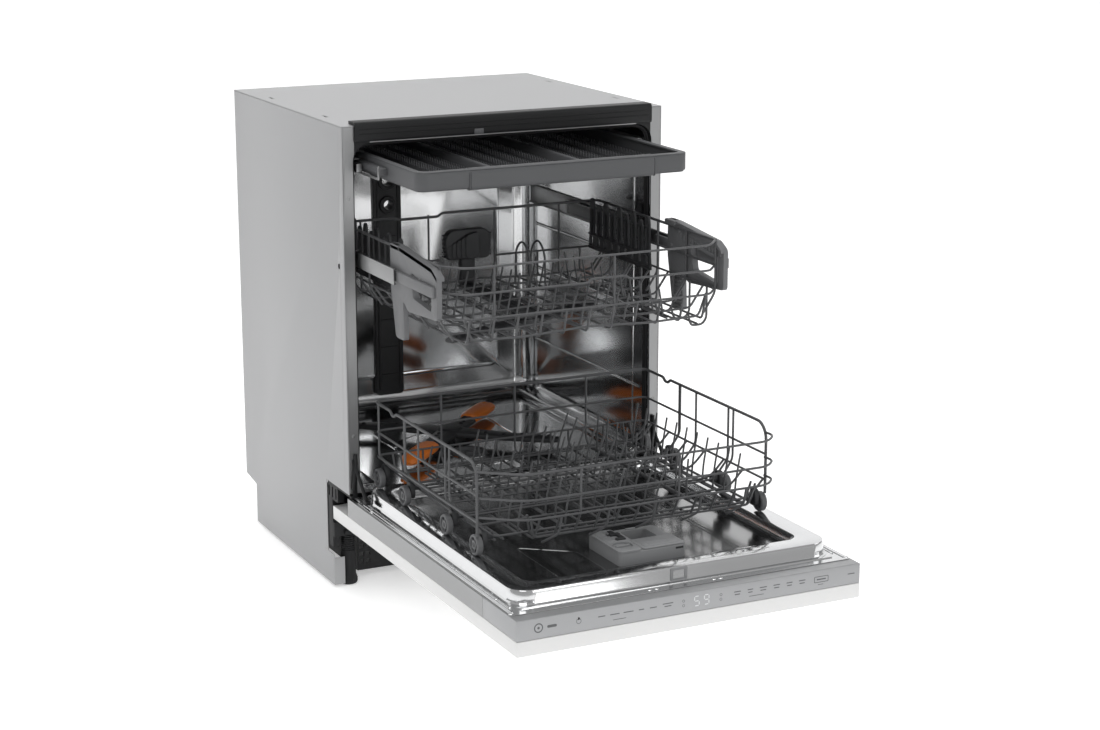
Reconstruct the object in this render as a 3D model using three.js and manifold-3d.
// A built-in dishwasher with its door folded down and its three racks drawn out.
// Millimetres, +X to the right, +Y towards the wall behind it, +Z up.
// The origin is on the floor, under the middle of the whole open machine.

import * as THREE from "three";
import { mergeVertices } from "three/addons/utils/BufferGeometryUtils.js";
import Module from "manifold-3d";

const wasm = await Module();
wasm.setup();

// ---------------------------------------------------------------- driving sizes

const touch = 0.3; // gap kept between pieces that touch

// Cabinet
const cabinetWidth = 598;
const cabinetDepth = 543;
const cabinetHeight = 820;
const panelSheet = 1.5; // outer sheets
const columnWidth = 20; // bright flange on each side of the opening
const toeKickDepth = 79; // how far the side panels stand back at the floor
const hingeCutDepth = 108; // how far they stand back beside the hinges
const hingeCutHeight = 190; // top of that cut
const fixingHoleInset = 24; // side hole for the screw into the next cabinet
const fixingHoleHeight = 583;
const toeKickHeight = 60; // height of the lowest step
const panelClearance = 4; // side panels end this far above the floor
const rearNotchDepth = 56; // space for hoses behind the base
const rearNotchHeight = 78;
const returnFlange = 20;
const returnFlangeDrop = 6; // its top below the lowest step

// Tub
const tubSheet = 1.5;
const tubFloor = 190; // inner floor height
const tubHeadroom = 30; // from its inner top to the cabinet top
const tubBackGap = 39.5; // from its inner back to the cabinet back
const tubCorner = 30;
const trackWidth = 36; // ledge that the lower rack rolls on
const trackRise = 16;

// Front trim and seal
const trimRise = 6; // how far the trim stands above the top panel
const trimFace = 33;
const trimDepth = 5.6;
const sealThickness = 5.3;
const sealWidth = 14;

// Base, feet and hinge plates
const baseSheet = 3;
const baseFloor = 12;
const baseWallTop = 62;
const baseFrontTop = 92;
const footRadius = 15.5;
const stemRadius = 12;
const stemTop = 121;
const stemClearance = 0.4;
const footInset = 32; // foot axis from the cabinet side
const frontFootSetback = 95;
const rearFootInset = 78; // rear foot axis from the cabinet back
const hingePlateThickness = 12;
const hingePlateTop = 189;
const springRadius = 6.5;
const springLength = 150;
const springDrop = 30; // spring axis below the tub floor

// Door, folded down
const doorSideGap = 1.5; // from the door's side to the cabinet's side
const doorOuterHeight = 125; // outer face of the white panel above the floor
const woodThickness = 23.6;
const woodTail = 83; // how far the white panel reaches back under the machine
const doorShortfall = 160.5; // the folded-down door reaches out this much less than the cabinet is tall
const shellTail = 12;
const shellDepth = 32;
const doorSheet = 1;
const fasciaLength = 119;
const fasciaWall = 2.5;
const linerSide = 21.5; // from the door's side to the raised rim
const linerFront = 50; // from the door's tip to the raised rim
const linerRear = 19;
const linerCorner = 34;
const rimWidth = 38;
const panDepth = 18;
const latchWidth = 30;
const latchDepth = 24;

// Detergent dispenser
const dispenserWidth = 118;
const dispenserLength = 108;
const dispenserHeight = 24;
const dispenserFront = 131; // from the door's tip
const cupWidth = 46;
const cupLength = 44;
const cupDepth = 18;
const lidThickness = 3;
const rinseCapRadius = 15;

// Wires
const rimWire = 6;
const wire = 5;
const tineWire = 4;
const wireStep = 1.6; // lengthwise floor wires lie this much below the cross wires

// Lower rack: its wheels run on the door's rim and the tub's ledges
const lowerRackRear = -21; // where its back stands, seen from the cabinet front
const lowerRackShortfall = 39.5; // its length below the tub's depth
const lowerRackInset = 22; // from the tub wall to the side wires
const lowerRimHeight = 150; // above the track
const lowerMidHeight = 99;
const lowerLowHeight = 56;
const lowerFloorHeight = 27;
const lowerFrontHeights = [136, 94, 63];
const lowerFrontBow = 50;
const wheelRadius = 17;
const wheelWidth = 11;
const wheelBore = 4.2;
const wheelClearance = 0.4;
const wheelSetbacks = [10, 120, 291, 405]; // from the rack's back
const tineHeight = 72;
const tineCount = 6;

// Upper rack and its runners
const upperRackRear = 146;
const upperRackShortfall = 41.5; // its length below the tub's depth
const upperRimRise = 38; // its rim above the middle of its runners
const upperRackDepth = 121;
const upperRackInset = 29;
const upperFrontHeights = [0, 42, 82]; // below the rim
const runnerShare = 0.675; // height of the telescopic runners in the tub
const runnerShortfall = 45.5; // its length below the tub's depth
const runnerMidExtra = 12; // the middle member is this much longer
const runnerMidFront = -150;
const bracketFront = -300;
const bracketLength = 190;
const bracketHeight = 92;
const shelfLength = 233;
const shelfHeight = 92;
const shelfFingers = 8;
const dockWidth = 90;
const armRadiusUpper = 190;

// Cutlery tray
const trayFront = -198;
const trayShortfall = 37.5; // its length below the tub's depth
const traySideGap = 33; // from the tub wall to the tray's side
const trayDrop = 19; // its top below the tub's roof
const trayDepth = 32;
const trayWall = 3;
const trayHandleLength = 332;

// Water parts
const hubX = -12;
const hubY = 225;
const armRadius = 208;
const armBlade = 44;
const armTipLength = 112;
const armTipWidth = 40;
const ductWidth = 56;
const ductDepth = 12;
const sumpRadius = 88;
const filterRadius = 30;
const ductPortRise = 7; // upper rack's water port above that rack's rim
const lowerPortDrop = 41; // the port for its low position, below the rim
const dockTopDrop = 29; // feed tube's dock below the rim
const dockBottomDrop = 83;
const sumpDepth = 94;
const pumpDrop = 68; // pump axis below the tub floor
const filterOffset = 84; // filter axis in front of the spray arm hub

// ---------------------------------------------------------------- derived sizes

const halfCabinet = cabinetWidth / 2;
const halfTub = halfCabinet - columnWidth;
const tubTop = cabinetHeight - tubHeadroom;
const tubBack = cabinetDepth - tubBackGap;
const trackTop = tubFloor + trackRise;
const doorWidth = cabinetWidth - 2 * doorSideGap;
const doorReach = cabinetHeight - doorShortfall;
const halfDoor = doorWidth / 2;
const woodTop = doorOuterHeight + woodThickness;
const shellBottom = woodTop + touch;
const shellTop = shellBottom + shellDepth;
const halfLiner = halfDoor - linerSide;
const linerTip = -doorReach + linerFront;
const linerTop = trackTop;
const linerRise = linerTop - shellTop;
const panFloor = linerTop - panDepth;
const halfPan = halfLiner - rimWidth;
const panTip = linerTip + rimWidth;
const panTail = -linerRear - rimWidth;
const lowerRackLength = tubBack - lowerRackShortfall;
const upperRackLength = tubBack - upperRackShortfall;
const runnerHeight = tubFloor + runnerShare * (tubTop - tubFloor);
const upperRimHeight = runnerHeight + upperRimRise;
const runnerFixedLength = tubBack - runnerShortfall;
const runnerMidLength = runnerFixedLength + runnerMidExtra;
const trayLength = tubBack - trayShortfall;
const trayWidth = 2 * (halfTub - traySideGap);
const trayTop = tubTop - trayDrop;
const halfLowerRack = halfTub - lowerRackInset;
const wheelX = halfLowerRack - wheelWidth / 2 + rimWire / 2;
const halfUpperRack = halfTub - upperRackInset;
const upperFloorHeight = upperRimHeight - upperRackDepth;
const footX = halfCabinet - footInset;
const rearFootY = cabinetDepth - rearFootInset;
const baseBack = cabinetDepth - rearNotchDepth - touch;
const baseFront = hingeCutDepth + 4;

// ---------------------------------------------------------------- solid helpers

// A three.js geometry as a manifold-3d solid, with its corners merged.
function solid(geometry) {
  const bare = geometry.index ? geometry.toNonIndexed() : geometry.clone();
  bare.deleteAttribute("normal");
  bare.deleteAttribute("uv");
  const merged = mergeVertices(bare, 1e-4);
  return new wasm.Manifold(
    new wasm.Mesh({
      numProp: 3,
      vertProperties: merged.attributes.position.array,
      triVerts: new Uint32Array(merged.index.array),
    }),
  );
}

// A solid back as a three.js geometry.
function geometryOf(made) {
  const mesh = made.getMesh();
  const stride = mesh.numProp;
  const points = new Float32Array(mesh.numVert * 3);
  for (let i = 0; i < mesh.numVert; i++) {
    points.set(mesh.vertProperties.subarray(i * stride, i * stride + 3), i * 3);
  }
  const geometry = new THREE.BufferGeometry();
  geometry.setAttribute("position", new THREE.BufferAttribute(points, 3));
  geometry.setIndex(new THREE.BufferAttribute(mesh.triVerts, 1));
  geometry.computeVertexNormals();
  return geometry;
}

// A block between two corners.
function block([x0, y0, z0], [x1, y1, z1]) {
  const geometry = new THREE.BoxGeometry(x1 - x0, y1 - y0, z1 - z0);
  geometry.translate((x0 + x1) / 2, (y0 + y1) / 2, (z0 + z1) / 2);
  return solid(geometry);
}

// A round rod between two points.
function rod(from, to, radius, sides = 16) {
  const a = new THREE.Vector3(...from);
  const b = new THREE.Vector3(...to);
  const geometry = new THREE.CylinderGeometry(radius, radius, a.distanceTo(b), sides);
  const up = new THREE.Vector3(0, 1, 0);
  const along = b.clone().sub(a).normalize();
  geometry.applyQuaternion(new THREE.Quaternion().setFromUnitVectors(up, along));
  const middle = a.add(b).multiplyScalar(0.5);
  geometry.translate(middle.x, middle.y, middle.z);
  return solid(geometry);
}

// A square wire through a list of points, with mitred overlaps at its bends.
function wirePath(points, size = wire) {
  const pieces = [];
  for (let i = 0; i + 1 < points.length; i++) {
    const a = new THREE.Vector3(...points[i]);
    const b = new THREE.Vector3(...points[i + 1]);
    const along = b.clone().sub(a).normalize();
    const geometry = new THREE.BoxGeometry(size, size, a.distanceTo(b) + size);
    const forward = new THREE.Vector3(0, 0, 1);
    geometry.applyQuaternion(new THREE.Quaternion().setFromUnitVectors(forward, along));
    const middle = a.add(b).multiplyScalar(0.5);
    geometry.translate(middle.x, middle.y, middle.z);
    pieces.push(solid(geometry));
  }
  return pieces;
}

// A solid turned about the upright axis from [radius, height] points, closed on itself.
function lathe(profile, sides, [x, y, z] = [0, 0, 0]) {
  const points = [...profile, profile[0]].map(([r, h]) => new THREE.Vector2(r, h));
  const geometry = new THREE.LatheGeometry(points, sides);
  geometry.rotateX(Math.PI / 2);
  geometry.translate(x, y, z);
  const made = solid(geometry);
  if (made.volume() < 0) throw new Error("a lathe profile runs the wrong way round");
  return made;
}

// A rectangle with rounded corners as a shape.
function roundedShape(x0, x1, y0, y1, radius) {
  const shape = new THREE.Shape();
  shape.moveTo(x0 + radius, y0);
  shape.lineTo(x1 - radius, y0);
  shape.absarc(x1 - radius, y0 + radius, radius, -Math.PI / 2, 0, false);
  shape.lineTo(x1, y1 - radius);
  shape.absarc(x1 - radius, y1 - radius, radius, 0, Math.PI / 2, false);
  shape.lineTo(x0 + radius, y1);
  shape.absarc(x0 + radius, y1 - radius, radius, Math.PI / 2, Math.PI, false);
  shape.lineTo(x0, y0 + radius);
  shape.absarc(x0 + radius, y0 + radius, radius, Math.PI, Math.PI * 1.5, false);
  return shape;
}

// A shape extruded upwards between two heights.
function prism(shape, low, high, curveSegments = 5) {
  const options = { depth: high - low, bevelEnabled: false, curveSegments };
  const geometry = new THREE.ExtrudeGeometry(shape, options);
  geometry.translate(0, 0, low);
  return solid(geometry);
}

// A rounded rectangle extruded along Z between two heights.
function roundedBlock([x0, y0, z0], [x1, y1, z1], radius, curveSegments = 5) {
  return prism(roundedShape(x0, x1, y0, y1, radius), z0, z1, curveSegments);
}

// A rounded rectangle in X and Z, extruded along Y.
function frontBlock([x0, y0, z0], [x1, y1, z1], radius, curveSegments = 5) {
  const depth = y1 - y0;
  const options = { depth, bevelEnabled: false, curveSegments };
  const geometry = new THREE.ExtrudeGeometry(roundedShape(x0, x1, z0, z1, radius), options);
  geometry.rotateX(Math.PI / 2);
  geometry.translate(0, y1, 0);
  return solid(geometry);
}

// An outline of [y, z] points, extruded along X.
function sideBlock(outline, x0, x1) {
  const shape = new THREE.Shape(outline.map(([y, z]) => new THREE.Vector2(y, z)));
  const geometry = new THREE.ExtrudeGeometry(shape, { depth: x1 - x0, bevelEnabled: false });
  // The outline's first axis becomes Y, its second Z, and the extrusion X.
  const turn = new THREE.Matrix4().makeBasis(
    new THREE.Vector3(0, 1, 0),
    new THREE.Vector3(0, 0, 1),
    new THREE.Vector3(1, 0, 0),
  );
  geometry.applyMatrix4(turn);
  geometry.translate(x0, 0, 0);
  return solid(geometry);
}

function join(...pieces) {
  return wasm.Manifold.union(pieces.flat(Infinity));
}

function cut(body, ...tools) {
  return body.subtract(join(...tools));
}

// The same solid on the other side of the machine.
function mirrored(made) {
  return made.mirror([1, 0, 0]);
}

// Evenly spaced values between two ends, both included.
function spread(from, to, count) {
  return Array.from({ length: count }, (_, i) => from + ((to - from) * i) / (count - 1));
}

// ---------------------------------------------------------------- materials

function finish(color, roughness, metalness = 0) {
  return new THREE.MeshStandardMaterial({ color, roughness, metalness });
}

const finishes = {
  cabinetPaint: finish(0xb9babc, 0.45, 0.6),
  stainless: finish(0xc4c6c8, 0.22, 1),
  brushed: finish(0x9fa1a4, 0.35, 1),
  fascia: finish(0xa9abae, 0.35, 0.7),
  lacquer: finish(0xe9e9e8, 0.35),
  blackPlastic: finish(0x202224, 0.5),
  greyPlastic: finish(0x5d5f62, 0.55),
  lightPlastic: finish(0x8e9093, 0.5),
  darkPlastic: finish(0x3a3c3f, 0.55),
  coatedWire: finish(0x5f6063, 0.45),
  orangePlastic: finish(0xde6e23, 0.5),
  rubber: finish(0x2a2a2b, 0.8),
};

const root = new THREE.Group();

function place(parent, name, made, material, position = [0, 0, 0]) {
  const mesh = new THREE.Mesh(geometryOf(made), material);
  mesh.name = name;
  mesh.position.set(...position);
  parent.add(mesh);
  return mesh;
}

function group(parent, position = [0, 0, 0]) {
  const made = new THREE.Group();
  made.position.set(...position);
  parent.add(made);
  return made;
}

// ---------------------------------------------------------------- cabinet

const cabinet = group(root);

function sidePanel() {
  const top = cabinetHeight - panelSheet - touch;
  const notchBack = cabinetDepth - rearNotchDepth;
  const outline = [
    [0, top],
    [0, hingeCutHeight],
    [hingeCutDepth, hingeCutHeight],
    [hingeCutDepth, toeKickHeight],
    [toeKickDepth, toeKickHeight],
    [toeKickDepth, panelClearance],
    [notchBack, panelClearance],
    [notchBack, rearNotchHeight],
    [cabinetDepth, rearNotchHeight + 8],
    [cabinetDepth, top],
  ];
  const outer = halfCabinet;
  const inner = outer - panelSheet;
  const sheet = sideBlock(outline, inner, outer);
  const lip = block(
    [outer - returnFlange, toeKickDepth, panelClearance],
    [inner + 0.1, toeKickDepth + panelSheet, toeKickHeight - returnFlangeDrop],
  );
  const fixingHole = rod(
    [inner - 1, fixingHoleInset, fixingHoleHeight],
    [outer + 1, fixingHoleInset, fixingHoleHeight],
    5,
    12,
  );
  return cut(join(sheet, lip), fixingHole);
}

function topPanel() {
  const low = cabinetHeight - panelSheet;
  const sheet = block([-halfCabinet, 0, low], [halfCabinet, cabinetDepth, cabinetHeight]);
  const slots = [-1, 1].flatMap((side) =>
    [130, 400].map((y) => {
      const x = side * (halfCabinet - 22);
      return block([x - 3, y - 12, low - 1], [x + 3, y + 12, cabinetHeight + 1]);
    }),
  );
  return cut(sheet, slots);
}

function backPanel() {
  const edge = halfCabinet - panelSheet - touch;
  const low = 120;
  const high = cabinetHeight - panelSheet - touch;
  const sheet = block([-edge, cabinetDepth - panelSheet, low], [edge, cabinetDepth, high]);
  const vents = spread(-150, 150, 4).map((x) =>
    block([x - 30, cabinetDepth - panelSheet - 1, low + 30], [x + 30, cabinetDepth + 1, low + 38]),
  );
  return cut(sheet, vents);
}

function topTrim() {
  const edge = halfTub - 2;
  const high = cabinetHeight + trimRise;
  const face = block([-edge, -trimDepth - 0.4, high - trimFace], [edge, -0.4, high]);
  const lip = block([-edge, -1, cabinetHeight + 0.4], [edge, 24, high]);
  const tab = block([-34, -trimDepth - 3, high - trimFace - 1], [-16, -trimDepth, high - 20]);
  return join(face, lip, tab);
}

place(cabinet, "left_side_panel", mirrored(sidePanel()), finishes.cabinetPaint);
place(cabinet, "right_side_panel", sidePanel(), finishes.cabinetPaint);
place(cabinet, "top_panel", topPanel(), finishes.cabinetPaint);
place(cabinet, "back_panel", backPanel(), finishes.cabinetPaint);
place(cabinet, "top_trim", topTrim(), finishes.blackPlastic);

// ---------------------------------------------------------------- tub and seal

function tub() {
  const out = tubSheet;
  const outer = frontBlock(
    [-halfTub - out, 0, tubFloor - out],
    [halfTub + out, tubBack + out, tubTop + out],
    tubCorner + out,
  );
  const flangeEdge = halfCabinet - panelSheet - touch;
  const flange = block(
    [-flangeEdge, 0, hingeCutHeight + 2],
    [flangeEdge, tubSheet, cabinetHeight - panelSheet - touch],
  );
  const inside = frontBlock([-halfTub, -1, tubFloor], [halfTub, tubBack, tubTop], tubCorner);
  const sumpHole = rod([hubX, sumpY, tubFloor - 5], [hubX, sumpY, tubFloor + 2], sumpRadius - 6, 24);
  const shell = cut(join(outer, flange), inside);
  const ledges = [-1, 1].map((side) => {
    const wall = side * (halfTub + out / 2);
    const edge = side * (halfTub - trackWidth);
    return block(
      [Math.min(wall, edge), 0, tubFloor - out / 2],
      [Math.max(wall, edge), tubBack + out / 2, trackTop],
    );
  });
  return cut(join(shell, ledges), sumpHole);
}

function doorSeal() {
  const outer = halfTub - touch;
  const inner = outer - sealThickness;
  const low = trackTop + 4;
  const ring = cut(
    frontBlock([-outer, 6, tubFloor], [outer, 6 + sealWidth, tubTop - touch], tubCorner - touch),
    frontBlock(
      [-inner, 5, tubFloor - 20],
      [inner, 7 + sealWidth, tubTop - touch - sealThickness],
      tubCorner - touch - sealThickness,
    ),
  );
  return cut(ring, block([-halfTub, 0, 0], [halfTub, 40, low]));
}

const sumpY = hubY - filterOffset / 2;
place(cabinet, "tub", tub(), finishes.stainless);
place(cabinet, "door_seal", doorSeal(), finishes.rubber);

// ---------------------------------------------------------------- water parts

function sump() {
  const rimTop = tubFloor - tubSheet - touch;
  const floor = tubFloor - sumpDepth;
  const r = sumpRadius - 8;
  const bowl = lathe(
    [
      [0, floor],
      [r - 22, floor],
      [r, floor + 26],
      [r, rimTop - 3],
      [sumpRadius + 8, rimTop - 3],
      [sumpRadius + 8, rimTop],
      [r - 3, rimTop],
      [r - 3, floor + 28],
      [r - 24, floor + 3],
      [0, floor + 3],
    ],
    24,
    [hubX, sumpY, 0],
  );
  const post = rod([hubX, hubY, floor + 1], [hubX, hubY, tubFloor + 13], 9);
  return join(bowl, post);
}

function filterPlate() {
  const low = tubFloor + touch;
  const plate = rod([hubX, sumpY, low], [hubX, sumpY, low + 3], sumpRadius + 30, 32);
  const filterHole = rod(
    [hubX, hubY - filterOffset, low - 1],
    [hubX, hubY - filterOffset, low + 4],
    filterRadius + 2.5,
    20,
  );
  const hubHole = rod([hubX, hubY, low - 1], [hubX, hubY, low + 4], 11);
  return cut(plate, filterHole, hubHole);
}

function filterCup() {
  const low = 128;
  const seat = tubFloor + touch + 3 + touch;
  const cup = lathe(
    [
      [0, low],
      [filterRadius, low],
      [filterRadius, seat],
      [filterRadius + 4, seat],
      [filterRadius + 4, seat + 2.5],
      [filterRadius - 2, seat + 2.5],
      [filterRadius - 2, low + 2],
      [0, low + 2],
    ],
    20,
  );
  const grip = block([-filterRadius + 1, -2, seat - 8], [filterRadius - 1, 2, seat + 2]);
  return join(cup, grip);
}

// A flat blade with a round end, from the hub outwards at an angle.
function blade(angle, length, rootWidth, tipWidth, low, high) {
  const shape = new THREE.Shape();
  const end = length - tipWidth / 2;
  shape.moveTo(0, -rootWidth / 2);
  shape.lineTo(end, -tipWidth / 2);
  shape.absarc(end, 0, tipWidth / 2, -Math.PI / 2, Math.PI / 2, false);
  shape.lineTo(0, rootWidth / 2);
  shape.closePath();
  return prism(shape, low, high, 4).rotate([0, 0, angle]);
}

function lowerArm() {
  const low = tubFloor + 16;
  const high = low + 12;
  const tipRoot = armRadius - armTipLength - touch;
  const blades = [45, 225].map((angle) => blade(angle, tipRoot + 20, armBlade, 34, low, high));
  const cross = [135, 315].map((angle) => blade(angle, armRadius, armBlade, 30, low, high));
  const hub = rod([0, 0, low - 2], [0, 0, high + 4], 26, 20);
  const trimmed = [45, 225].map((angle) =>
    block([tipRoot, -40, low - 1], [tipRoot + 60, 40, high + 1]).rotate([0, 0, angle]),
  );
  return cut(join(blades, cross, hub), trimmed);
}

function armTip() {
  const low = tubFloor + 14;
  const root = armRadius - armTipLength;
  const half = armTipWidth / 2;
  return roundedBlock([root, -half, low], [armRadius, half, low + 17], 12, 4);
}

function waterDuct() {
  const front = tubBack - touch - ductDepth;
  const left = hubX - 8 - ductWidth / 2;
  const right = left + ductWidth;
  const portHeight = upperRimHeight + ductPortRise;
  const lowPortHeight = upperRimHeight - lowerPortDrop;
  const body = block([left, front, tubFloor + 30], [right, tubBack - touch, tubTop - 22]);
  const boss = rod([hubX - 8, front - 6, portHeight], [hubX - 8, front + 2, portHeight], 20, 20);
  const port = rod([hubX - 8, front - 8, portHeight], [hubX - 8, tubBack - 3, portHeight], 12, 16);
  const lowerPort = rod([hubX - 8, front - 8, lowPortHeight], [hubX - 8, tubBack - 3, lowPortHeight], 9, 16);
  return cut(join(body, boss), port, lowerPort);
}

function ceilingNozzle() {
  const high = tubTop - touch;
  return lathe(
    [
      [0, high - 12],
      [22, high - 12],
      [34, high - 5],
      [34, high],
      [0, high],
    ],
    20,
    [hubX, hubY, 0],
  );
}

place(cabinet, "sump", sump(), finishes.darkPlastic);
place(cabinet, "filter_plate", filterPlate(), finishes.stainless);
place(cabinet, "filter_cup", filterCup(), finishes.greyPlastic, [hubX, hubY - filterOffset, 0]);
place(cabinet, "water_duct", waterDuct(), finishes.darkPlastic);
place(cabinet, "ceiling_nozzle", ceilingNozzle(), finishes.greyPlastic);

const lowerArmGroup = group(cabinet, [hubX, hubY, 0]);
place(lowerArmGroup, "lower_spray_arm", lowerArm(), finishes.darkPlastic);
const rearTip = place(lowerArmGroup, "spray_tip_rear", armTip(), finishes.orangePlastic);
rearTip.rotation.z = Math.PI / 4;
const frontTip = place(lowerArmGroup, "spray_tip_front", armTip(), finishes.orangePlastic);
frontTip.rotation.z = (Math.PI * 5) / 4;

// ---------------------------------------------------------------- base and machinery

function baseTray() {
  const half = footX - 24;
  const shell = cut(
    block([-half, baseFront, baseFloor], [half, baseBack, baseWallTop]),
    block(
      [-half + baseSheet, baseFront + baseSheet, baseFloor + baseSheet],
      [half - baseSheet, baseBack - baseSheet, baseWallTop + 1],
    ),
  );
  const front = block([-half, baseFront, baseFloor], [half, baseFront + baseSheet, baseFrontTop]);
  const slots = [-1, 1].flatMap((side) =>
    [8, 20].flatMap((across) =>
      spread(28, 70, 4).map((z) => {
        const x = side * (half - across);
        return block([x - 4, baseFront - 1, z - 4], [x + 4, baseFront + baseSheet + 1, z + 4]);
      }),
    ),
  );
  const wing = halfCabinet - panelSheet - touch;
  const wings = [-1, 1].map((side) => {
    const xs = [side * (half - baseSheet), side * wing].sort((a, b) => a - b);
    return block([xs[0], rearFootY - 20, baseWallTop], [xs[1], baseBack, baseWallTop + 26]);
  });
  const bores = [-1, 1].map((side) => {
    const x = side * footX;
    return rod([x, rearFootY, baseWallTop - 1], [x, rearFootY, baseWallTop + 30], stemRadius + stemClearance);
  });
  const wingPosts = [-1, 1].map((side) => {
    const xs = [side * (half - baseSheet), side * half].sort((a, b) => a - b);
    return block([xs[0], rearFootY - 20, baseWallTop - 10], [xs[1], baseBack, baseWallTop + 5]);
  });
  return cut(join(shell, front, wings, wingPosts), slots, bores);
}

function circulationPump() {
  const y = sumpY;
  const z = tubFloor - pumpDrop;
  const start = hubX + sumpRadius + 14;
  const housing = rod([start, y, z], [start + 34, y, z], 42, 24);
  const motor = rod([start + 33, y, z], [start + 105, y, z], 30, 20);
  return join(housing, motor);
}

// A connector that points backwards out of the base.
function rearConnector(flangeRadius, pipeRadius, reach) {
  const flange = rod([0, touch, 0], [0, 6, 0], flangeRadius, 20);
  const pipe = rod([0, 5, 0], [0, reach, 0], pipeRadius, 16);
  const bore = rod([0, 12, 0], [0, reach + 1, 0], pipeRadius * 0.6, 12);
  return cut(join(flange, pipe), bore);
}

function inletValve() {
  const body = block([-20, touch, -16], [20, 24, 16]);
  const thread = rod([0, 23, 0], [0, 42, 0], 13, 20);
  const bore = rod([0, 26, 0], [0, 43, 0], 8, 12);
  return cut(join(body, thread), bore);
}

place(cabinet, "base_tray", baseTray(), finishes.blackPlastic);
place(cabinet, "circulation_pump", circulationPump(), finishes.darkPlastic);
const connectorHeight = 38;
place(cabinet, "inlet_valve", inletValve(), finishes.lightPlastic, [170, baseBack, connectorHeight]);
place(cabinet, "drain_outlet", rearConnector(18, 11, 40), finishes.darkPlastic, [
  -170,
  baseBack,
  connectorHeight,
]);
place(cabinet, "cable_gland", rearConnector(12, 7, 26), finishes.blackPlastic, [
  215,
  baseBack,
  connectorHeight,
]);

// Feet: a pad, a sleeve and a threaded stem that screws into its holder.
function foot() {
  return lathe(
    [
      [0, 0],
      [footRadius, 0],
      [footRadius, 14],
      [footRadius - 2, 17],
      [footRadius - 2, 58],
      [stemRadius, 60],
      [stemRadius, stemTop],
      [0, stemTop],
    ],
    12,
  );
}

const footPlaces = {
  foot_front_left: [-footX, frontFootSetback, 0],
  foot_front_right: [footX, frontFootSetback, 0],
  foot_rear_left: [-footX, rearFootY, 0],
  foot_rear_right: [footX, rearFootY, 0],
};
for (const [name, position] of Object.entries(footPlaces)) {
  place(cabinet, name, foot(), finishes.blackPlastic, position);
}

// Hinge plate: a slotted plate beside the door, a shelf for the front foot,
// and the lever that reaches forward and up in front of the column.
function hingePlate() {
  const outer = halfCabinet - panelSheet - touch;
  const inner = outer - hingePlateThickness;
  const behindDoor = woodTail + 3;
  const aboveDoor = shellTop + linerRise / 8 + 1;
  const back = hingeCutDepth - touch;
  const plate = sideBlock(
    [
      [60, hingePlateTop],
      [60, aboveDoor - 26],
      [behindDoor, aboveDoor - 26],
      [behindDoor, 72],
      [back, 72],
      [back, hingePlateTop],
    ],
    inner,
    outer,
  );
  const slots = [66, 82, 98].map((y) =>
    block([inner - 1, y, hingePlateTop - 26], [outer + 1, y + 5, hingePlateTop - 7]),
  );
  const shelf = block(
    [footX - 18, frontFootSetback - 16, 92],
    [outer, hingeCutDepth + 2, doorOuterHeight - 7],
  );
  const bore = rod(
    [footX, frontFootSetback, 90],
    [footX, frontFootSetback, doorOuterHeight],
    stemRadius + stemClearance,
  );
  const arm = block([inner, -4, aboveDoor], [outer, 62, hingePlateTop]);
  const lever = block([inner, -4, aboveDoor], [inner + 7, -1, hingePlateTop + 64]);
  return cut(join(plate, shelf, arm, lever), slots, bore);
}

function doorSpring() {
  const ridges = 6;
  const pitch = springLength / ridges;
  const profile = [[0, 0]];
  for (let i = 0; i < ridges; i++) {
    profile.push([springRadius - 1.5, i * pitch], [springRadius, (i + 0.5) * pitch]);
  }
  profile.push([springRadius - 1.5, springLength], [0, springLength]);
  const coil = lathe(profile, 8).rotate([-90, 0, 0]);
  const hook = rod([0, -14, 0], [0, 2, 0], 2, 8);
  return join(coil, hook);
}

const springX = halfCabinet - panelSheet - touch - springRadius - 1;
for (const [name, side] of [["left", -1], ["right", 1]]) {
  const plate = hingePlate();
  const turned = side < 0 ? mirrored(plate) : plate;
  place(cabinet, "hinge_plate_" + name, turned, finishes.blackPlastic);
  const at = [side * springX, hingeCutDepth + 18, tubFloor - springDrop];
  place(cabinet, "door_spring_" + name, doorSpring(), finishes.brushed, at);
}

// ---------------------------------------------------------------- door

const door = group(root);

function woodPanel() {
  return block([-halfDoor, -doorReach, doorOuterHeight], [halfDoor, woodTail, woodTop]);
}

function doorShell() {
  const front = -doorReach + fasciaLength + touch;
  const shell = cut(
    block([-halfDoor, front, shellBottom], [halfDoor, shellTail, shellTop]),
    block(
      [-halfDoor + doorSheet, front - 1, shellBottom + doorSheet],
      [halfDoor - doorSheet, shellTail - doorSheet, shellTop - doorSheet],
    ),
    block([-halfLiner + 6, front - 1, shellTop - 5], [halfLiner - 6, -linerRear - 6, shellTop + 1]),
  );
  return shell;
}

function controlFascia() {
  const back = -doorReach + fasciaLength;
  const outer = block([-halfDoor, -doorReach, shellBottom], [halfDoor, back, shellTop]);
  const inner = block(
    [-halfDoor + fasciaWall, -doorReach + fasciaWall, shellBottom + fasciaWall],
    [halfDoor - fasciaWall, back + 1, shellTop - fasciaWall],
  );
  return cut(outer, inner);
}

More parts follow.
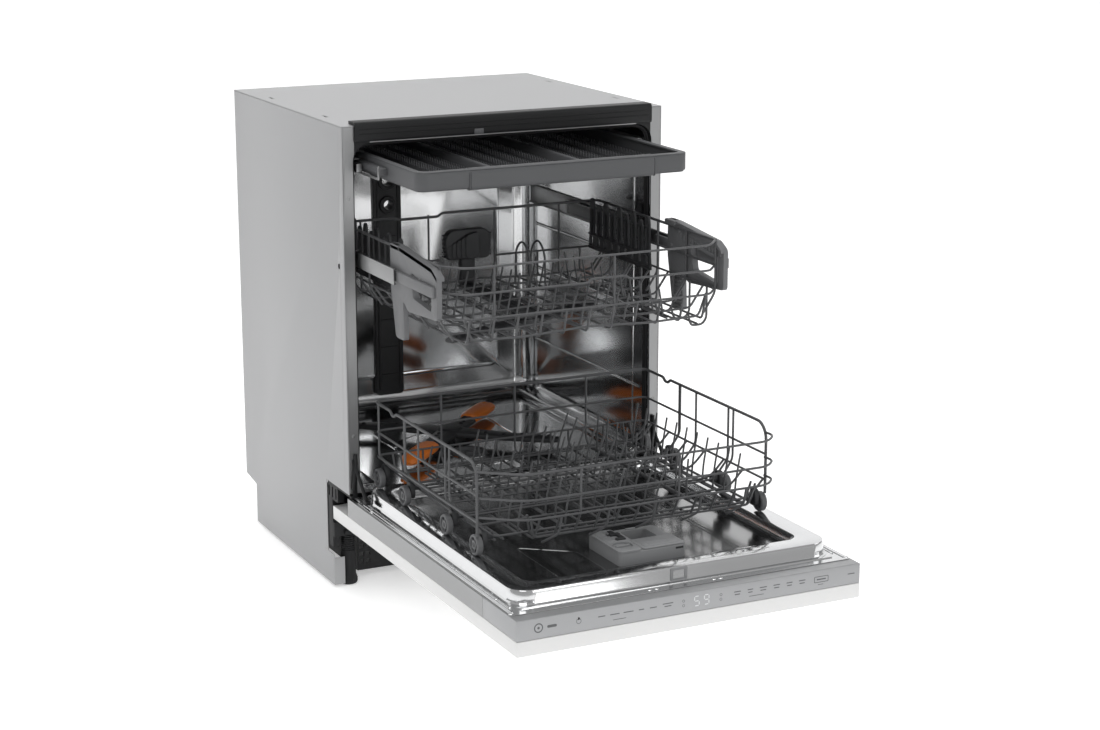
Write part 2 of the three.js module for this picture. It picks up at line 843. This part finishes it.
function doorLiner() {
  const low = shellTop + touch;
  const sheet = doorSheet;
  const flangeHigh = low + sheet;
  const flange = block(
    [-halfDoor + 4, linerTip - 26, low],
    [halfDoor - 4, shellTail - 4, flangeHigh],
  );
  const raised = roundedBlock(
    [-halfLiner, linerTip, low],
    [halfLiner, -linerRear, linerTop],
    linerCorner,
  );
  const hollow = roundedBlock(
    [-halfLiner + sheet, linerTip + sheet, low - 1],
    [halfLiner - sheet, -linerRear - sheet, linerTop - sheet],
    linerCorner - sheet,
  );
  const panCorner = linerCorner - 8;
  const panBlock = roundedBlock(
    [-halfPan - sheet, panTip - sheet, panFloor - sheet],
    [halfPan + sheet, panTail + sheet, linerTop - sheet / 2],
    panCorner + sheet,
  );
  const pan = roundedBlock(
    [-halfPan, panTip, panFloor],
    [halfPan, panTail, linerTop + 1],
    panCorner,
  );
  const latchNotch = block(
    [-latchWidth / 2 - touch, linerTip - 1, flangeHigh],
    [latchWidth / 2 + touch, linerTip + latchDepth + touch, linerTop + 1],
  );
  return cut(join(cut(join(flange, raised), hollow), panBlock), pan, latchNotch);
}

function doorLatch() {
  const low = shellTop + touch * 2 + doorSheet;
  const half = latchWidth / 2;
  const body = block([-half, linerTip, low], [half, linerTip + latchDepth, linerTop]);
  const mouth = block([-half + 5, linerTip - 1, low + 6], [half - 5, linerTip + 12, linerTop - 5]);
  return cut(body, mouth);
}

place(door, "furniture_panel", woodPanel(), finishes.lacquer);
place(door, "door_shell", doorShell(), finishes.brushed);
place(door, "control_fascia", controlFascia(), finishes.fascia);
place(door, "door_liner", doorLiner(), finishes.stainless);
place(door, "door_latch", doorLatch(), finishes.lightPlastic);

// The dispenser stands in the liner's pan: a detergent cup under a sliding lid,
// and a rinse aid port with its turning cap.
const dispenserY = -doorReach + dispenserFront;
const dispenser = group(door, [0, dispenserY, panFloor + touch]);
const cupX = -8;
const capX = -38;
const capY = 30;

function dispenserBody() {
  const half = dispenserWidth / 2;
  const body = roundedBlock([-half, 0, 0], [half, dispenserLength, dispenserHeight - lidThickness - touch], 8, 3);
  const collar = roundedBlock([-half, 0, 0], [cupX - 10, dispenserLength, dispenserHeight], 8, 3);
  const cup = roundedBlock(
    [cupX, dispenserLength - cupLength - 10, dispenserHeight - cupDepth - lidThickness],
    [cupX + cupWidth, dispenserLength - 10, dispenserHeight + 1],
    6,
    3,
  );
  const well = rod(
    [capX, capY, dispenserHeight - 6],
    [capX, capY, dispenserHeight + 1],
    rinseCapRadius + 1,
    20,
  );
  return cut(join(body, collar), cup, well);
}

function dispenserLid() {
  const half = dispenserWidth / 2;
  return roundedBlock(
    [cupX - 8, 2, 0],
    [half, cupLength + 6, lidThickness],
    6,
    3,
  );
}

function rinseCap() {
  const disc = rod([0, 0, 0], [0, 0, 3], rinseCapRadius, 20);
  const grip = block([-rinseCapRadius + 3, -2.5, 2], [rinseCapRadius - 3, 2.5, 6]);
  return join(disc, grip);
}

place(dispenser, "dispenser_body", dispenserBody(), finishes.lightPlastic);
place(dispenser, "dispenser_lid", dispenserLid(), finishes.greyPlastic, [
  0,
  0,
  dispenserHeight - lidThickness,
]);
place(dispenser, "rinse_cap", rinseCap(), finishes.darkPlastic, [
  capX,
  capY,
  dispenserHeight - 6 + touch,
]);

// ---------------------------------------------------------------- lower rack

// Its group stands on the track, with Y = 0 at the rack's back.
const lowerRack = group(root, [0, lowerRackRear, trackTop + touch]);

function lowerRackFrame() {
  const x = halfLowerRack;
  const sideFront = -lowerRackLength + lowerFrontBow;
  const rear = -rimWire / 2;
  const front = -lowerRackLength + rimWire / 2;
  const floorX = x - wheelWidth - 10;
  const pieces = [];
  // Side rims step down to the top front wire.
  const corner = x - 62;
  for (const side of [-1, 1]) {
    pieces.push(
      wirePath(
        [
          [side * x, rear, lowerRimHeight],
          [side * x, sideFront, lowerRimHeight],
          [side * x, sideFront, lowerFloorHeight + 24],
        ],
        rimWire,
      ),
    );
    pieces.push(
      wirePath(
        [
          [side * x, rear, lowerMidHeight],
          [side * x, sideFront, lowerMidHeight],
        ],
        wire,
      ),
    );
    pieces.push(
      wirePath(
        [
          [side * x, rear, lowerLowHeight],
          [side * x, sideFront, lowerLowHeight],
        ],
        wire,
      ),
    );
    for (const y of spread(rear - 40, sideFront + 110, 3)) {
      pieces.push(
        wirePath([
          [side * x, y, lowerRimHeight],
          [side * x, y, lowerLowHeight],
        ]),
      );
    }
  }
  // Front wires bow out across the corners.
  for (const z of lowerFrontHeights) {
    pieces.push(
      wirePath([
        [-x, sideFront, z],
        [-corner, front, z],
        [corner, front, z],
        [x, sideFront, z],
      ]),
    );
  }
  // Rear wall.
  for (const z of [lowerRimHeight, lowerMidHeight, lowerLowHeight]) {
    pieces.push(
      wirePath(
        [
          [-x, rear, z],
          [x, rear, z],
        ],
        z === lowerRimHeight ? rimWire : wire,
      ),
    );
  }
  for (const across of spread(-floorX, floorX, 4)) {
    pieces.push(
      wirePath([
        [across, rear, lowerRimHeight],
        [across, rear, lowerFloorHeight],
      ]),
    );
  }
  // Floor grid, bent up to the low side wires.
  for (const y of spread(rear, front + 10, 6)) {
    const reach = y < sideFront ? corner : floorX;
    const bent = y < sideFront ? corner + 10 : x;
    pieces.push(
      wirePath([
        [-bent, y, y < sideFront ? lowerFrontHeights[2] : lowerLowHeight],
        [-reach, y, lowerFloorHeight],
        [reach, y, lowerFloorHeight],
        [bent, y, y < sideFront ? lowerFrontHeights[2] : lowerLowHeight],
      ]),
    );
  }
  const tineX = [-0.5, -0.05].map((share) => share * x);
  for (const across of [...tineX, -floorX, floorX, x * 0.6]) {
    pieces.push(
      wirePath([
        [across, rear, lowerFloorHeight - wireStep],
        [across, front + 10, lowerFloorHeight - wireStep],
      ]),
    );
  }
  // Front uprights from the floor to the top front wire.
  for (const across of spread(-corner + 20, corner - 20, 3)) {
    pieces.push(
      wirePath([
        [across, front + 10, lowerFloorHeight],
        [across, front, lowerFrontHeights[2]],
        [across, front, lowerFrontHeights[0]],
      ]),
    );
  }
  // Fixed tines lean a little towards the middle of the rack.
  for (const across of tineX) {
    for (const y of spread(rear - 40, front + 60, tineCount)) {
      pieces.push(
        wirePath(
          [
            [across, y, lowerFloorHeight],
            [across + 8, y, lowerFloorHeight + tineHeight],
          ],
          tineWire,
        ),
      );
    }
  }
  // Wheel carriers: a low bar under each side with a stub axle for each wheel.
  for (const side of [-1, 1]) {
    const bar = side * (wheelX - wheelWidth / 2 - 4);
    pieces.push(
      wirePath([
        [bar, rear, wheelRadius],
        [bar, sideFront, wheelRadius],
      ]),
    );
    for (const setback of wheelSetbacks) {
      pieces.push(
        wirePath([
          [bar, -setback, wheelRadius],
          [side * floorX, -setback, lowerFloorHeight],
        ]),
      );
      pieces.push(
        rod(
          [bar, -setback, wheelRadius],
          [side * (wheelX + wheelWidth / 2), -setback, wheelRadius],
          wheelBore - wheelClearance,
          8,
        ),
      );
    }
  }
  return join(pieces);
}

// A row of tines on a rod that turns flat to make room for pots.
function foldingTines() {
  const length = lowerRackLength - 130;
  const spine = rod([0, 0, 0], [0, -length, 0], 3, 8);
  const tines = spread(-12, -length + 12, tineCount).map((y) =>
    wirePath(
      [
        [0, y, 0],
        [0, y, tineHeight - 8],
      ],
      tineWire,
    ),
  );
  return join(spine, tines);
}

function wheel() {
  const half = wheelWidth / 2;
  const tyre = lathe(
    [
      [wheelBore, -half],
      [wheelRadius - 2, -half],
      [wheelRadius, -half + 2],
      [wheelRadius, half - 2],
      [wheelRadius - 2, half],
      [wheelBore, half],
    ],
    14,
  );
  return tyre.rotate([0, 90, 0]);
}

place(lowerRack, "lower_rack", lowerRackFrame(), finishes.coatedWire);
place(lowerRack, "folding_tines", foldingTines(), finishes.coatedWire, [
  halfLowerRack * 0.5,
  -60,
  lowerFloorHeight + 7,
]);
for (const [name, side] of [["left", -1], ["right", 1]]) {
  wheelSetbacks.forEach((setback, i) => {
    const at = [side * (wheelX + 0.5), -setback, wheelRadius];
    place(lowerRack, "wheel_" + name + "_" + (i + 1), wheel(), finishes.lightPlastic, at);
  });
}

// ---------------------------------------------------------------- upper rack

const upperRack = group(root, [0, upperRackRear, 0]);
const dockLeft = hubX - dockWidth / 2;

function upperRackFrame() {
  const x = halfUpperRack - rimWire / 2;
  const rear = -rimWire / 2;
  const front = -upperRackLength + wire / 2;
  const sideFront = front + 34;
  const corner = x - 30;
  const floor = upperFloorHeight;
  const pieces = [];
  for (const side of [-1, 1]) {
    pieces.push(
      wirePath(
        [
          [side * x, rear, upperRimHeight],
          [side * x, sideFront, upperRimHeight],
        ],
        rimWire,
      ),
    );
    for (const drop of [42, 82]) {
      pieces.push(
        wirePath([
          [side * x, rear, upperRimHeight - drop],
          [side * x, sideFront, upperRimHeight - drop],
        ]),
      );
    }
    for (const y of spread(rear - 30, sideFront, 4)) {
      pieces.push(
        wirePath([
          [side * x, y, upperRimHeight],
          [side * x, y, upperRimHeight - 82],
        ]),
      );
    }
  }
  for (const drop of upperFrontHeights) {
    pieces.push(
      wirePath([
        [-x, sideFront, upperRimHeight - drop],
        [-corner, front, upperRimHeight - drop],
        [corner, front, upperRimHeight - drop],
        [x, sideFront, upperRimHeight - drop],
      ]),
    );
  }
  // Rear wall, open between two uprights for the water dock.
  const gapLeft = dockLeft - 6;
  const gapRight = dockLeft + dockWidth + 6;
  pieces.push(
    wirePath(
      [
        [-x, rear, upperRimHeight],
        [x, rear, upperRimHeight],
      ],
      rimWire,
    ),
  );
  for (const [from, to] of [[-x, gapLeft], [gapRight, x]]) {
    pieces.push(
      wirePath([
        [from, rear, upperRimHeight - 82],
        [to, rear, upperRimHeight - 82],
      ]),
    );
  }
  // Floor grid, bent up to the lowest side wires.
  for (const y of spread(rear - 24, front + 8, 6)) {
    const reach = y < sideFront ? corner - 10 : x - 26;
    const bent = y < sideFront ? corner : x;
    pieces.push(
      wirePath([
        [-bent, y, upperRimHeight - 82],
        [-reach, y, floor],
        [reach, y, floor],
        [bent, y, upperRimHeight - 82],
      ]),
    );
  }
  // Lengthwise wires run up the rear wall; the middle two stand beside the dock.
  const rows = [-0.42, 0.42].map((share) => share * x);
  for (const across of [-x + 34, rows[0], gapLeft, gapRight, rows[1], x - 34]) {
    pieces.push(
      wirePath([
        [across, rear, upperRimHeight],
        [across, rear, floor - wireStep],
        [across, front + 8, floor - wireStep],
      ]),
    );
  }
  for (const across of spread(-corner + 30, corner - 30, 3)) {
    pieces.push(
      wirePath([
        [across, front + 8, floor],
        [across, front, upperRimHeight - 82],
        [across, front, upperRimHeight],
      ]),
    );
  }
  for (const across of rows) {
    for (const y of spread(rear - 50, front + 60, 5)) {
      pieces.push(
        wirePath(
          [
            [across, y, floor],
            [across + 6, y, floor + 34],
          ],
          tineWire,
        ),
      );
    }
  }
  return join(pieces);
}

// Height bracket: a plate with a window on the rack's side, with the inner
// member of the runner on its outer face and a toothed leg at its back.
function heightBracket() {
  const outer = halfTub - 17.5;
  const inner = outer - 8.5;
  const front = bracketFront - upperRackRear;
  const back = front + bracketLength;
  const top = upperRimHeight + 10;
  const low = top - bracketHeight;
  const plate = sideBlock(
    [
      [front, low],
      [front + 120, low - 8],
      [back - 50, low + 8],
      [back - 56, low - 62],
      [back - 20, low - 62],
      [back, low + 30],
      [back, top],
      [back - 30, top],
      [front + 20, top - 12],
      [front, top - 24],
    ],
    inner,
    outer,
  );
  const window = sideBlock(
    [
      [front + 26, low + 12],
      [front + 92, low + 20],
      [front + 92, low + 52],
      [front + 26, low + 46],
    ],
    inner - 1,
    outer + 1,
  );
  const runner = block(
    [outer - 0.5, front + 4, runnerHeight - 9],
    [halfTub - 11.5, -46, runnerHeight + 9],
  );
  return join(cut(plate, window), runner);
}

// Fixed rail: a channel on the tub wall. Middle rail: a bar with two lips.
function fixedRunner() {
  const wall = halfTub - 0.6;
  const low = runnerHeight - 18;
  const high = runnerHeight + 18;
  const start = 6 + sealWidth + 4;
  const web = block([wall - 1.6, start, low], [wall, start + runnerFixedLength, high]);
  const lips = [low, high - 2].map((z) =>
    block([wall - 4.9, start, z], [wall - 1, start + runnerFixedLength, z + 2]),
  );
  return join(web, lips);
}

function middleRunner() {
  const outer = halfTub - 6.3;
  const low = runnerHeight - 13;
  const high = runnerHeight + 13;
  const back = runnerMidFront + runnerMidLength;
  const web = block([outer - 2, runnerMidFront, low], [outer, back, high]);
  const lips = [low, high - 2].map((z) =>
    block([outer - 4.4, runnerMidFront, z], [outer - 1, back, z + 2]),
  );
  const stop = block([outer - 4.4, back - 14, low], [outer, back, high]);
  return join(web, lips, stop);
}

// Cup shelf: a comb that stands against the side and folds down inwards.
// Its group origin is on the fold axis.
function cupShelf() {
  const pitch = shelfLength / shelfFingers;
  const back = block([-2, 0, -3], [2, shelfLength, 30]);
  const fingers = Array.from({ length: shelfFingers }, (_, i) =>
    block([-2, i * pitch + 5, 20], [2, (i + 1) * pitch - 5, shelfHeight - (i % 2 ? 10 : 0)]),
  );
  return join(back, fingers);
}

// Feed tube: the dock at the rack's back, a tube forward under its floor,
// and the hub that the upper spray arm hangs from.
const upperHubY = -236; // behind the rack's back is positive
function feedTube() {
  const low = upperFloorHeight - wire / 2 - 14;
  const dockLow = upperRimHeight - dockBottomDrop;
  const dockHigh = upperRimHeight - dockTopDrop;
  const dock = block([dockLeft, -18, dockLow], [dockLeft + dockWidth, 14, dockHigh]);
  const mouth = rod([hubX, 8, dockHigh - 16], [hubX, 16, dockHigh - 16], 13, 16);
  const neck = block([hubX - 14, -10, low], [hubX + 14, 8, dockLow + 1]);
  const tube = block([hubX - 14, upperHubY, low], [hubX + 14, -4, low + 11]);
  const hub = rod([hubX, upperHubY, low - 4], [hubX, upperHubY, low + 11], 22, 20);
  return cut(join(dock, neck, tube, hub), mouth);
}

function upperArm() {
  const high = 0;
  const low = -10;
  const blades = [22, 202].map((angle) => blade(angle, armRadiusUpper, 46, 30, low, high));
  const hub = rod([0, 0, low - 3], [0, 0, high], 26, 20);
  return join(blades, hub);
}

place(upperRack, "upper_rack", upperRackFrame(), finishes.coatedWire);
place(upperRack, "feed_tube", feedTube(), finishes.darkPlastic);
place(upperRack, "upper_spray_arm", upperArm(), finishes.darkPlastic, [
  hubX,
  upperHubY,
  upperFloorHeight - wire / 2 - 18 - touch - 0.2,
]);
for (const [name, side] of [["left", -1], ["right", 1]]) {
  const flip = (made) => (side < 0 ? mirrored(made) : made);
  place(upperRack, "height_bracket_" + name, flip(heightBracket()), finishes.greyPlastic);
  place(upperRack, "cup_shelf_" + name, cupShelf(), finishes.darkPlastic, [
    side * (halfUpperRack - 20),
    -240,
    upperRimHeight - 81,
  ]);
  place(cabinet, "fixed_runner_" + name, flip(fixedRunner()), finishes.stainless);
  place(cabinet, "middle_runner_" + name, flip(middleRunner()), finishes.stainless);
}

// ---------------------------------------------------------------- cutlery tray

const tray = group(root, [0, trayFront, trayTop - trayDepth - 4]);

function cutleryTray() {
  const half = trayWidth / 2;
  const wall = trayWall;
  const floorHigh = 3;
  const high = trayDepth;
  const shell = cut(
    block([-half, 0, 0], [half, trayLength, high]),
    block([-half + wall, 14, floorHigh], [half - wall, trayLength - wall, high + 1]),
  );
  const grip = sideBlock(
    [
      [0, -3],
      [12, -3],
      [14, 2],
      [14, high + 2],
      [4, high + 4],
      [0, high],
    ],
    -trayHandleLength / 2 + 11,
    trayHandleLength / 2 + 11,
  );
  const thirds = [-half / 3, half / 3];
  const dividers = thirds.map((x) =>
    block([x - 1.5, 13, 1], [x + 1.5, trayLength - 2, high - 12]),
  );
  const slots = [-0.66, 0, 0.66].flatMap((share) =>
    spread(60, trayLength - 50, 6).map((y) => {
      const x = share * half;
      return block([x - 55, y - 12, -1], [x + 55, y + 12, floorHigh + 1]);
    }),
  );
  const combs = [-0.66, 0, 0.66].flatMap((share) =>
    spread(85, trayLength - 70, 5).map((y) => {
      const x = share * half;
      return block([x - 58, y - 1.5, 1], [x + 58, y + 1.5, 16]);
    }),
  );
  const runners = [-1, 1].flatMap((side) => {
    const xs = [side * (half - 1), side * (half + 12)].sort((a, b) => a - b);
    return block([xs[0], 128, 10], [xs[1], trayLength - 46, 22]);
  });
  return cut(join(shell, grip, dividers, combs, runners), slots);
}

// Rail on the tub wall that the tray's side runners slide in.
function trayRail() {
  const outer = halfTub - 0.6;
  const inner = trayWidth / 2 + 12 + 1;
  const base = trayTop - trayDepth - 4;
  const start = 6 + sealWidth + 4;
  const length = runnerFixedLength - 8;
  const web = block([outer - 3, start, base + 5], [outer, start + length, base + 27]);
  const lips = [base + 5, base + 25].map((z) =>
    block([inner, start, z], [outer - 1, start + length, z + 2]),
  );
  return join(web, lips);
}

place(tray, "cutlery_tray", cutleryTray(), finishes.greyPlastic);
place(cabinet, "tray_rail_left", mirrored(trayRail()), finishes.stainless);
place(cabinet, "tray_rail_right", trayRail(), finishes.stainless);

// The origin is under the middle of the open machine.
root.position.y = (doorReach - cabinetDepth) / 2;

export default root;
